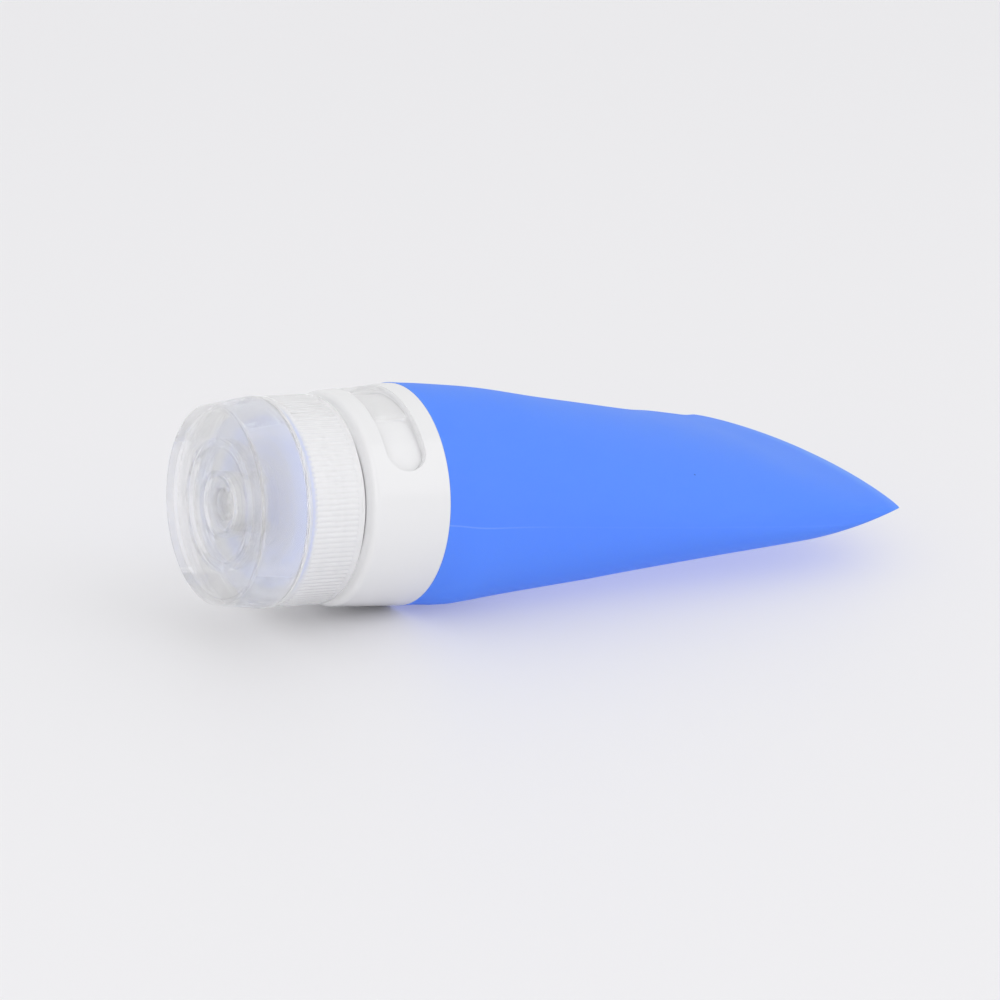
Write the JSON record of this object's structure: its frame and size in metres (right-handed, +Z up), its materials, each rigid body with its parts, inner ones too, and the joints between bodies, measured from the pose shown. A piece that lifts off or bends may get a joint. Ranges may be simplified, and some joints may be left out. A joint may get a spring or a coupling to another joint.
{
  "type": "silicone travel bottle",
  "caption": "Squeezable tube bottle lying on its side: flat-tailed soft body, window collar, ribbed screw cap with slit valve and clear flip lid.",
  "frame": {"origin": "on the ground under the middle of the bottle's bounding box", "axes": "+Z up, +X from the cap towards the flat tail, +Y towards the lid's hinge"},
  "size_m": [0.1496, 0.0778, 0.0481],
  "materials": {
    "blue_silicone": "satin, slightly translucent",
    "white_plastic": "gloss",
    "label_plastic": "matte, bare",
    "milky_plastic": "translucent, moulded",
    "clear_plastic": "clear, polished",
    "clear_silicone": "soft, cloudy"
  },
  "bodies": {
    "bottle": {"tube_body": "blue_silicone", "threaded_neck": "white_plastic", "label_ring": "label_plastic"},
    "collar": {"window_collar": "white_plastic", "window_pane": "clear_plastic"},
    "valve": {"slit_valve": "clear_silicone", "valve_retainer": "milky_plastic"},
    "cap": {"screw_cap": "milky_plastic"},
    "lid": {"flip_lid": "clear_plastic"}
  },
  "joints": [
    {"name": "collar_turn", "type": "hinge", "parent": "bottle", "child": "collar", "pos_m": [-0.03925, 0, 0.02391], "axis": [-0.9925, 0, 0.1219], "continuous": true},
    {"name": "cap_lift", "type": "slide", "parent": "bottle", "child": "valve", "axis": [-0.9925, 0, 0.1219], "range_m": [0, 0.008]},
    {"name": "cap_turn", "type": "hinge", "parent": "valve", "child": "cap", "pos_m": [-0.05563, 0, 0.02592], "axis": [-0.9925, 0, 0.1219], "range_deg": [0, 720]},
    {"name": "lid_hinge", "type": "hinge", "parent": "cap", "child": "lid", "pos_m": [-0.0601, 0.0222, 0.02647], "axis": [-0.1219, 0, -0.9925], "range_deg": [0, 120]}
  ],
  "couplings": [
    {"joint": "cap_turn", "follows": "cap_lift", "rad_per_m": 1570.8}
  ]
}
